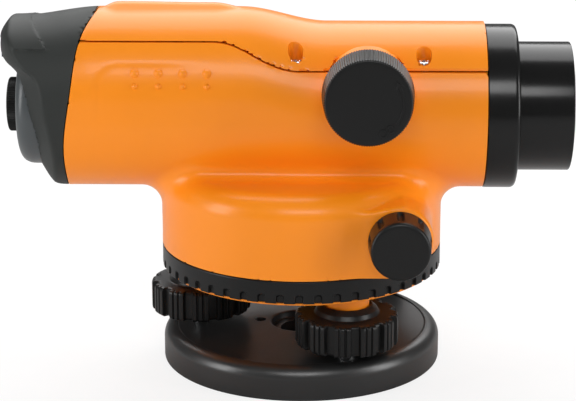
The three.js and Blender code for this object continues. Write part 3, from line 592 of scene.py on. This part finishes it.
def housing_fields(p):
    """The housing: body below the seam, less its hollow, with the focus boss"""
    x, y, h = p.T
    boss = focus_boss(x, y, h)
    outer = union(outer_body(x, y, h), np.maximum(boss, -33 - y), 1.0)
    across, along = nearest_screw(x, y)
    posts = np.maximum(np.hypot(across, along - SCREWS_Y) - POST_RADIUS, 11.5 - h)
    hollow = np.minimum(np.minimum(-cavity(x, y, h), bulkheads(x, y, h)), posts)
    below = np.minimum(h - seam_height(x), boss)
    slow_bore = SHAFT_HOLE - np.hypot(x - SLOW_X, h - SLOW_H)
    focus_bore = np.minimum(SHAFT_HOLE - np.hypot(x - FOCUS_X, h - FOCUS_H), -y)
    bores = np.maximum(slow_bore, focus_bore)
    window = np.maximum(np.maximum(np.abs(x + 46) - 6, np.abs(y) - 6.3), np.abs(h + 43.3) - 3.8)
    ends = np.maximum(x - BODY_END, DRUM_BOTTOM - h)
    return np.stack([outer, hollow, below, hood_line(h) - x, ends, bores, -window])


def cover_fields(p):
    """The top cover: body above the seam, with its four deep screw pockets"""
    x, y, h = p.T
    across, along = nearest_screw(x, y)
    posts = np.hypot(across, along - SCREWS_Y) - POST_RADIUS
    hollow = np.minimum(-cavity(x, y, h), np.maximum(posts, h - 25))
    hollow = np.maximum(hollow, SCREW_HOLE - np.hypot(across, along - SCREWS_Y))
    pocket = np.hypot(across, along - np.clip(along, SCREWS_Y - 0.4, SCREWS_Y + 0.6)) - POCKET_RADIUS
    pocket = np.maximum(pocket, POCKET_FLOOR - h)
    above = seam_height(x) + seam_gap(x) - h
    boss = -focus_boss(x, y, h, FOCUS_BOSS + SEAM_GAP)
    return np.stack([outer_body(x, y, h), hollow, above, hood_line(h) - x, x - BODY_END, -pocket, boss])


def dome(x, h, radius, height):
    """A raised dot on the body's near flank, as a patch that follows the surface"""
    outline = [(radius * t, height * (1 - t * t) - 0.05) for t in np.linspace(0, 1, 9)]
    points, faces = revolve("y", outline, 24)
    reach = np.stack([points[:, 0] + x, np.full(len(points), -28.0), points[:, 2] + h], -1)
    for _ in range(6):
        reach[:, 1] += outer_body(*reach.T)
    tilt = np.stack([np.zeros(len(reach)), reach[:, 1], reach[:, 2] - BODY_RAISE], -1)
    tilt /= np.linalg.norm(tilt, axis=1)[:, None]
    return reach - tilt * points[:, 1:2], faces


def raised_dots():
    """Four pairs of dots, a large one above a small one"""
    dots = []
    for x in (-56.5, -48.4, -40.1, -31.8):
        dots.append(dome(x, 17.2, 1.6, 1.1))
        dots.append(dome(x, 12.95, 1.15, 0.9))
    return dots


def build_body():
    """The housing and its cover"""
    skin_piece("housing", "alidade", housing_fields, (-86, -51, -50.5), (67, 51, 36), 1.0, raised_dots())
    skin_piece("top_cover", "alidade", cover_fields, (-86, -31, 12), (67, 31, 39), 0.7)


# ---------------------------------------------------------------- eyepiece end
# Side views of the eyepiece cover and of the hollow in it: (x, h) from the top round to the bottom.
HOOD = [(-60, 40), (-84, 37), (-95, 33.6), (-99.6, 33.8), (-101.9, 31.9), (-103.9, 29.4),
        (-105.6, 26.6), (-106.0, 22.5), (-105.3, 18.2), (-102.4, 15.6), (-101.6, 13), (-101.9, 4.5),
        (-99.4, -5), (-95.6, -14), (-92.3, -20.8), (-89.6, -25.4), (-86.6, -27.4), (-82, -28.3),
        (-60, -30)]
HOOD_INSIDE = [(-60, 33), (-80, 32), (-95, 30), (-99, 29), (-102.4, 25.5), (-103.2, 22), (-102, 18),
               (-99.3, 14.5), (-99.3, 4.5), (-97, -4.5), (-91.3, -19.5), (-88, -24.5), (-82, -26.4),
               (-60, -26.4)]


def curved(corners, rounds=2):
    """A closed outline with its corners cut again and again into a curve"""
    points = np.array(corners, float)
    for _ in range(rounds):
        ahead = np.roll(points, -1, 0)
        points = np.stack([mix(points, ahead, 0.25), mix(points, ahead, 0.75)], 1).reshape(-1, 2)
    return points


def outline_distance(u, v, points):
    """Signed distance to a closed outline, negative inside"""
    best = np.full(u.shape, 1e9)
    inside = np.zeros(u.shape, bool)
    for (a, b), (c, d) in zip(points, np.roll(points, -1, 0)):
        du, dv = c - a, d - b
        share = np.clip(((u - a) * du + (v - b) * dv) / (du * du + dv * dv), 0, 1)
        best = np.minimum(best, np.hypot(u - a - share * du, v - b - share * dv))
        if dv != 0:
            crosses = ((b > v) != (d > v)) & (u < du * (v - b) / dv + a)
            inside ^= crosses
    return np.where(inside, -best, best)


hood_outline = curved(HOOD)
hood_inside = curved(HOOD_INSIDE, 1)


def hood_fields(p):
    """The cover round the eyepiece: a hood above, and a hollow for the eyepiece"""
    x, y, h = p.T
    across = np.abs(y)
    bow = HOOD_BEND * y * y
    band = outline_distance(x - bow, h, hood_outline)
    side = long_body(x, y, h)
    lip = np.maximum(side - 0.5, x - bow + 94.5)
    outer = overlap(np.minimum(side, np.maximum(lip, 24 - h)), band, 0.8)
    hollow = outline_distance(x - bow, h, hood_inside)
    hollow = -np.maximum(hollow, long_body(x, y, h, WALL))
    bezel = 21.3 - np.hypot(y, h)
    window = -np.maximum(np.maximum(across - 8, np.abs(h - 22) - 3.5), x + 98)
    front = x - hood_line(h) + 0.35
    return np.stack([outer, hollow, front, np.minimum(bezel, -82 - x), window])


def knurl(count, depth, low, high):
    """Relief of straight ribs on the part of an outline whose radius is above low"""
    def relief(radius, height, angle):
        wave = 0.5 - 0.5 * np.cos(np.radians(angle) * count)
        return radius - depth * wave * ease(radius, low, high), height
    return relief


def build_eyepiece():
    """Hood, bezel, focusing ring, and barrel"""
    skin_piece("eyepiece_cover", "alidade", hood_fields, (-108.5, -30, -31.5), (-67, 30, 37.5), 0.66)
    centre = (AXIS_X, 0, SIGHT_Z)
    bezel = rounded([(9.9, -99.3, 0.3), (21, -99.3, 8.5), (21, -88), (6.8, -88), (6.8, -95.3),
                     (9.9, -95.3)], 10)
    turned("eyepiece_bezel", "alidade", centre, revolve("x", bezel, 96))
    ring = rounded([(6.5, -102.8, 0.3), (8.2, -103.6, 0.3), (9.6, -103.6, 0.8), (9.6, -99.6, 0.3),
                    (6.5, -99.6)])
    ribs = knurl(90, 0.28, 8.9, 9.5)
    turned("eyepiece_ring", "eyepiece_grip", centre, revolve("x", dense(ring, 0.4), 540, ribs))
    barrel = rounded([(5.4, -103, 0.2), (6.4, -103, 0.3), (6.4, -80), (5.4, -80)])
    turned("eyepiece_barrel", "eyepiece", centre, revolve("x", barrel, 64))


# ---------------------------------------------------------------- objective end
def lens_outline(radius, start, end, bulge_start, bulge_end):
    """A lens's outline with spherical faces and a ground edge"""
    shares = np.linspace(0, 1, 12)
    back = [(radius * t, start - bulge_start * (1 - t * t)) for t in shares]
    front = [(radius * t, end + bulge_end * (1 - t * t)) for t in shares[::-1]]
    return back + front


# Each lens: its body, radius, start, end, and how far its two faces bulge outwards.
LENSES = {
    "objective_flint": ("alidade", 19.2, 80.2, 82.8, -1.2, 0),
    "objective_crown": ("alidade", 19.2, 83.2, 86, 0, 1.6),
    "eye_lens": ("eyepiece", 5.3, -102.4, -101, 0.4, 0.8),
    "field_lens": ("eyepiece", 5.3, -84, -82.6, 0.8, 0.3),
    "focus_lens": ("carriage", 9.2, 21.5, 24.5, -0.7, -0.7),
}


def build_objective():
    """Collar, objective tube with its light traps, retaining ring, and all lenses"""
    centre = (AXIS_X, 0, SIGHT_Z)
    collar = rounded([(23.0, 64.3), (28.9, 64.3, 0.3), (28.9, 75.4, 2.6), (24.6, 75.4, 0.3), (24.2, 74.6),
                      (23.0, 74.6)], 8)
    turned("objective_collar", "alidade", centre, revolve("x", collar, 128))
    grooves = []
    for x in np.arange(93.6, 90.9, -0.75):
        grooves += [(19.5, x), (19.8, x - 0.35)]
    mouth = rounded([(22.7, 90), (22.7, 94.5, 0.5), (20.1, 94.5, 0.3), (19.5, 94.0)])[1:]
    tube = [(19.5, 60), (22.7, 60), *mouth, *grooves, (19.5, 80), (17.4, 80), (17.4, 78), (19.5, 78)]
    turned("objective_tube", "alidade", centre, revolve("x", tube, 128))
    retainer = rounded([(17.2, 88, 0.2), (19.2, 88), (19.2, 90.5, 0.3), (17.2, 90.5, 0.5)])
    turned("objective_retainer", "alidade", centre, revolve("x", retainer, 96))
    for name, (body, *shape) in LENSES.items():
        turned(name, body, centre, revolve("x", lens_outline(*shape), 64))


# ---------------------------------------------------------------- knobs
def arc_band(inner, outer, start, end, height, taper=0.0):
    """A thin raised band along an arc about y on a knob's face, its angles in degrees

    taper is the share of its width that the band loses along the arc."""
    count = 24
    turns = np.radians(np.linspace(start, end, count))
    points, faces = [], []
    for t, turn in zip(np.linspace(1, 1 - taper, count), turns):
        middle, half = (inner + outer) / 2, (outer - inner) / 2 * t
        for radius, level in ((middle - half, -0.05), (middle - half * 0.7, height),
                              (middle + half * 0.7, height), (middle + half, -0.05)):
            points.append((radius * cos(turn), -level, radius * sin(turn)))
    for i in range(count - 1):
        for j in range(3):
            faces.append((4 * i + j, 4 * i + j + 1, 4 * i + j + 5, 4 * i + j + 4))
    last = 4 * count - 1
    faces += [(0, 1, 2, 3), (last, last - 1, last - 2, last - 3)]
    return np.array(points), faces


def shifted(part, x=0.0, y=0.0, z=0.0):
    """A part's points and faces, moved"""
    points, faces = part
    return np.asarray(points) + np.array((x, y, z)), faces


def build_focus_knob():
    """The focus knob: fine ribs, a flat face, and a raised arrow beside two small rings"""
    outline = rounded([(0, FOCUS_FACE), (15.0, FOCUS_FACE, 1.3), (15.8, 34.2, 0.5), (15.2, 33.9),
                       (0, 33.9)], 6)
    outline = dense(outline, 0.8, 12.5)
    ribs = knurl(110, 0.32, 14.2, 15.2)
    arrow = [arc_band(11.2, 12.2, -38, 28, 0.22), arc_band(10.2, 13.2, 28, 40, 0.22, 0.95)]
    rings = []
    for angle in (-50, -64):
        x, z = 11.4 * cos(radians(angle)), 11.4 * sin(radians(angle))
        rings.append(shifted(arc_band(0.9, 1.5, 0, 360, 0.22), x, z=z))
    marks = [shifted(part, y=-FOCUS_FACE) for part in arrow + rings]
    centre = (AXIS_X + FOCUS_X, 0, SIGHT_Z + FOCUS_H)
    turned("focus_knob", "focus_drive", centre, revolve("y", outline, 720, ribs), *marks)


def flutes(count, radius, bite):
    """Relief of round flutes cut across a knob's rim, one of them at the top"""
    def relief(radii, heights, angle):
        off = (angle - 90 + 180 / count) % (360 / count) - 180 / count
        across = radius * np.radians(off)
        depth = np.sqrt(np.maximum(bite ** 2 - across ** 2, 0))
        depth = depth * ease(heights, 0.4, 2) * (1 - ease(heights, 6.5, 10.5))
        return radii - depth * ease(radii, radius - 3.4, radius - 1.6), heights
    return relief


def build_slow_knobs():
    """The two slow motion knobs, with nine flutes each"""
    outline = rounded([(0, 12.0), (10.1, 12.0, 1.6), (SLOW_RADIUS, 0.4, 0.6), (10.2, 0), (0, 0)], 7)
    outline = dense(outline, 0.7, 7.5)
    for name, side in (("slow_knob_near", 1), ("slow_knob_far", -1)):
        points, faces = revolve("y", outline, 540, flutes(9, SLOW_RADIUS, 1.2))
        points = points * np.array((1, side, 1)) + np.array((0, -SLOW_BACK * side, 0))
        turned(name, "slow_motion", (AXIS_X + SLOW_X, 0, SIGHT_Z + SLOW_H), (points, faces))


# ---------------------------------------------------------------- cover screws
def cross(radius, height, angle):
    """Relief of the cross-shaped slot in a screw's head"""
    off = np.abs((angle + 45) % 90 - 45)
    arm = (radius * np.sin(np.radians(off)) < 0.34) & (radius < 1.7)
    return radius, height - 1.0 * arm * (height > 20.2)


def build_cover_screws():
    """Four cross-head screws at the bottom of the cover's pockets"""
    rim = rounded([(2.3, 18.8), (2.3, 20.1, 0.6), (0, 20.6)])[1:-1]
    outline = [(0, 10), (1.0, 10), (1.2, 10.4), (1.2, 18.7), (2.3, 18.7), *rim, (1.6, 20.45),
               (0.8, 20.5), (0, 20.5)]
    for x, where in zip(SCREWS_X, ("rear", "front")):
        for side, flank in ((-1, "near"), (1, "far")):
            name = f"cover_screw_{where}_{flank}"
            centre = (AXIS_X + x, side * SCREWS_Y, SIGHT_Z)
            turned(name, "alidade", centre, revolve("z", outline, 72, cross))


# ---------------------------------------------------------------- base
def spot(angle, radius=SCREW_PITCH):
    """The place on the floor at an angle and a distance from the vertical axis"""
    return AXIS_X + radius * cos(radians(angle)), radius * sin(radians(angle)), 0.0


def fixing_holes(radius, height, angle):
    """Relief of three sunk holes near the middle of the base plate, one towards each foot screw"""
    for screw_angle, _ in FOOT_SCREWS.values():
        x, y, _ = spot(screw_angle, FIXING_PITCH)
        away = np.hypot(radius * np.cos(np.radians(angle)) - x + AXIS_X,
                        radius * np.sin(np.radians(angle)) - y)
        height = height - 6 * (1 - ease(away, 1.3, 1.9)) * (height > 11.5)
    return radius, height


def build_base_plate():
    """The base plate: rounded rim, step line, threaded hole, and sunk fixing holes"""
    thread = []
    for z in np.arange(8.6, 0.4, -2.31):
        thread += [(7.6, z), (7.95, z - 1.1)]
    edge = 4.6
    rim = [(PLATE_RADIUS - edge * (1 - cos(radians(a))), PLATE_TOP - edge + edge * sin(radians(a)))
           for a in range(90, -1, -6)]
    under = rounded([(PLATE_RADIUS, 4), (PLATE_RADIUS, 0, 0.6), (43.5, 0, 0.3), (43.5, 2.6, 0.4),
                     (12, 2.6, 0.4), (12, 0, 0.3), (8.2, 0)], 5)
    step = [(44.6, 11.6), (44.8, 11.65), (45.0, 11.9), (45.2, 12.0)]
    middle = [(7.6, 9.0), (10.6, 9.0), (11.0, 9.4), (11.0, 11.3), (11.5, 11.6), (12.2, 11.6)]
    outline = [np.array(point) for point in [*middle, *step, *rim, *under, *thread[::-1]]]
    outline = dense(outline, 0.45, 12.3, 20)
    turned("base_plate", "base", (AXIS_X, 0, 0), revolve("z", outline, 420, fixing_holes))


def build_tribrach():
    """The orange plate of the base, with the three sleeves of the foot screws"""
    profile = rounded([(6.3, 30.5), (22, 31, 0.5), (26, 33, 0.8), (44, 33, 1.0), (48, 34.3, 0.3),
                       (48, 35.1, 0.2), (17, 35.1, 0.8), (17, 52.5, 0.3), (13.7, 52.5), (13.7, 58, 0.3),
                       (6.3, 58)])
    sleeve = rounded([(4.8, 27.9, 0.3), (7.8, 27.9, 0.6), (7.8, 34), (4.8, 34)])
    parts = [revolve("z", profile, 180)]
    for angle, _ in FOOT_SCREWS.values():
        x, y, _ = spot(angle)
        parts.append(shifted(revolve("z", sleeve, 64), x - AXIS_X, y))
    turned("tribrach", "base", (AXIS_X, 0, 0), *parts)


def lobes(phase):
    """Relief of twelve broad lobes with two fine grooves down each"""
    def relief(radius, height, angle):
        off = np.abs((angle - phase + 15) % 30 - 15)
        valley = ease(off, 9.4, 10.4)
        groove = 1 - ease(np.abs(off - 3.4), 0.4, 1.5)
        depth = 1.6 * valley + 0.6 * groove
        return radius - depth * ease(radius, 14.6, 16.4), height
    return relief


def helix(pitch, depth, low, high):
    """Relief of a screw thread between two heights"""
    def relief(radius, height, angle):
        turn = (height / pitch - angle / 360) % 1
        cut = depth * (1 - 2 * np.abs(turn - 0.5))
        return radius - cut * (height > low) * (height < high) * (radius > 2), height
    return relief


def build_foot_screws():
    """Three foot screws: a ball end, a threaded spindle, and a lobed knob"""
    knob = rounded([(3.9, 19.1), (7, 19.1, 0.4), (7, 16.1, 0.4), (9, 16.1), (14.5, 16.1, 0.3),
                    (14.8, 16.1, 0.3), (18.0, 16.1, 1.3), (18.0, 27.0, 1.5), (11.4, 27.0, 0.6),
                    (10.6, 28.6, 0.4), (8.8, 30.2, 0.9), (8.1, 30.1, 0.4), (8.1, 27.6, 0.3),
                    (3.9, 27.6)], 6)
    knob = dense(knob, 0.8, 14.0)
    ball = [(4.4 * cos(radians(a)), 7 + 4.4 * sin(radians(a))) for a in range(-90, 46, 9)]
    ball[0] = (0, 2.6)
    stem = [(3, z) for z in (10.4, 13, 15.6)]
    screw = [(3.8, z) for z in np.arange(15.7, 33.6, 0.16)]
    spindle = [*ball, *stem, *screw, (3.4, 34.0), (0, 34.1)]
    for name, (angle, phase) in FOOT_SCREWS.items():
        body = f"foot_screw_{name}"
        turned(f"foot_knob_{name}", body, spot(angle), revolve("z", knob, 600, lobes(phase)))
        turned(body, body, spot(angle), revolve("z", spindle, 32, helix(0.8, 0.35, 16, 33)))


def arches(radius, height, angle):
    """Relief of the circle ring's 48 arched notches, one of them facing -Y"""
    across = RING_RADIUS * np.radians((angle - 90 + 3.75) % 7.5 - 3.75)
    crown = RING_BOTTOM + 3.0 - 0.45 * across ** 2
    inside = (1 - ease(np.abs(across), 1.05, 1.35)) * (1 - ease(height, crown - 0.25, crown + 0.25))
    return radius - 1.1 * inside * ease(radius, 48.2, 48.9), height


def build_circle():
    """The horizontal circle's ring and its graduated scale"""
    ring = rounded([(40.5, RING_BOTTOM), (48.4, RING_BOTTOM), (RING_RADIUS, RING_BOTTOM, 0.4),
                    (RING_RADIUS, 43.3, 0.5), (44.8, 43.3, 0.2), (44.8, 50), (40.5, 50)], 4)
    ring = dense(ring, 0.4, 48.5)
    turned("circle_ring", "circle", (AXIS_X, 0, 0), revolve("z", ring, 1152, arches))
    scale = rounded([(44.9, 43.4), (45.6, 43.4, 0.1), (45.6, 50, 0.1), (44.9, 50)], 2)
    turned("circle_scale", "circle", (AXIS_X, 0, 0), revolve("z", scale, 180))
    marks = []
    half, radius = 0.12, 45.64
    for i in range(360):
        tall = 2.4 if i % 10 == 0 else 1.7 if i % 5 == 0 else 1.0
        a = radians(i)
        side = np.array((-sin(a), cos(a), 0)) * half
        foot = np.array((radius * cos(a), radius * sin(a), 45.0))
        up = np.array((0, 0, tall))
        marks.append(([foot - side, foot + side, foot + side + up, foot - side + up], [(0, 1, 2, 3)]))
    points, faces = gather(marks)
    lines = finish_mesh("circle_graduations", points + np.array((AXIS_X, 0, 0)), faces)
    lines.data.materials.append(materials["black_metal"])
    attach(lines, "circle")


# ---------------------------------------------------------------- carried-over CAD
def dress_cad():
    """Gives every CAD node that is still shown its slot's material and fine rounded edges"""
    for name, part in frame["nodes"].items():
        if part.hide_render:
            continue
        part.data.materials.clear()
        part.data.materials.append(materials[SLOTS[name]])
        if SLOTS[name] != "glass":
            bevel = part.modifiers.new("edges", "BEVEL")
            bevel.width = 0.12 * MM
            bevel.segments = 2
            bevel.limit_method = "ANGLE"
            bevel.angle_limit = radians(40)


# ---------------------------------------------------------------- studio
def floor():
    """A plain pale floor: a matt surface, brighter to the camera and dimmer in reflections"""
    side = 6000
    made = finish_mesh("floor", [(-side, -side, 0), (3 * side, -side, 0), (-side, 3 * side, 0)], [(0, 1, 2)])
    shade = bpy.data.materials.new("floor")
    shade.use_nodes = True
    tree = shade.node_tree
    tree.nodes.clear()
    place = node(tree, "ShaderNodeTexCoord").outputs["Object"]
    grain = noise(tree, place, 8.0)
    tone = spread(tree, grain.outputs[0], 0.93, 0.96)
    matt = node(tree, "ShaderNodeBsdfDiffuse", Color=tone)
    glow = node(tree, "ShaderNodeEmission", Color=(1, 1, 1, 1), Strength=1.0)
    path = node(tree, "ShaderNodeLightPath")
    share = node(tree, "ShaderNodeMixShader")
    tree.links.new(spread(tree, path.outputs["Is Camera Ray"], 0.0, 0.8, 0, 1), share.inputs[0])
    dim = node(tree, "ShaderNodeBsdfDiffuse", Color=(0.5, 0.5, 0.5, 1))
    matt_seen = node(tree, "ShaderNodeMixShader", Fac=path.outputs["Is Glossy Ray"])
    tree.links.new(matt.outputs[0], matt_seen.inputs[1])
    tree.links.new(dim.outputs[0], matt_seen.inputs[2])
    tree.links.new(matt_seen.outputs[0], share.inputs[1])
    tree.links.new(glow.outputs[0], share.inputs[2])
    end = node(tree, "ShaderNodeOutputMaterial")
    tree.links.new(share.outputs[0], end.inputs[0])
    made.data.materials.append(shade)


def panel(name, place, target, size, power):
    """A soft rectangular light aimed at a target. Metres."""
    light = bpy.data.lights.new(name, "AREA")
    light.shape = "RECTANGLE"
    light.size, light.size_y = size
    light.energy = power
    made = bpy.data.objects.new(name, light)
    made.location = place
    made.rotation_euler = (Vector(target) - Vector(place)).to_track_quat("-Z", "Y").to_euler()
    bpy.context.scene.collection.objects.link(made)


def lights():
    """A large overhead box, a light on each side, and a dim room"""
    middle = (AXIS_X * MM, 0, 0.07)
    panel("overhead", (0.0, 0.49, 0.71), middle, (1.1, 0.83), 9.0)
    panel("left", (-0.85, -0.35, 0.3), middle, (0.3, 0.6), 3.2)
    panel("right", (0.85, -0.3, 0.3), middle, (0.3, 0.6), 3.2)
    panel("front", (0.05, -1.0, 0.9), middle, (0.7, 0.35), 4.6)
    world = bpy.data.worlds.new("studio")
    world.use_nodes = True
    world.node_tree.nodes["Background"].inputs[0].default_value = (0.16, 0.16, 0.16, 1)
    bpy.context.scene.world = world
    bpy.context.scene.view_settings.view_transform = "Standard"


def camera():
    """A camera slightly right of square on, and from above"""
    turn, rise, away = radians(0.9), radians(16.45), 0.735
    back = Vector((sin(turn) * cos(rise), -cos(turn) * cos(rise), sin(rise)))
    data = bpy.data.cameras.new("camera")
    data.lens = 127.85
    data.shift_x, data.shift_y = -0.02335, -0.0123
    data.clip_start = 0.01
    made = bpy.data.objects.new("camera", data)
    made.location = Vector((AXIS_X * MM, 0, 0.06)) + back * away
    made.rotation_euler = (-back).to_track_quat("-Z", "Y").to_euler()
    bpy.context.scene.collection.objects.link(made)
    bpy.context.scene.camera = made


build_body()
build_eyepiece()
build_objective()
build_focus_knob()
build_slow_knobs()
build_cover_screws()
build_base_plate()
build_tribrach()
build_foot_screws()
build_circle()
dress_cad()
floor()
lights()
camera()
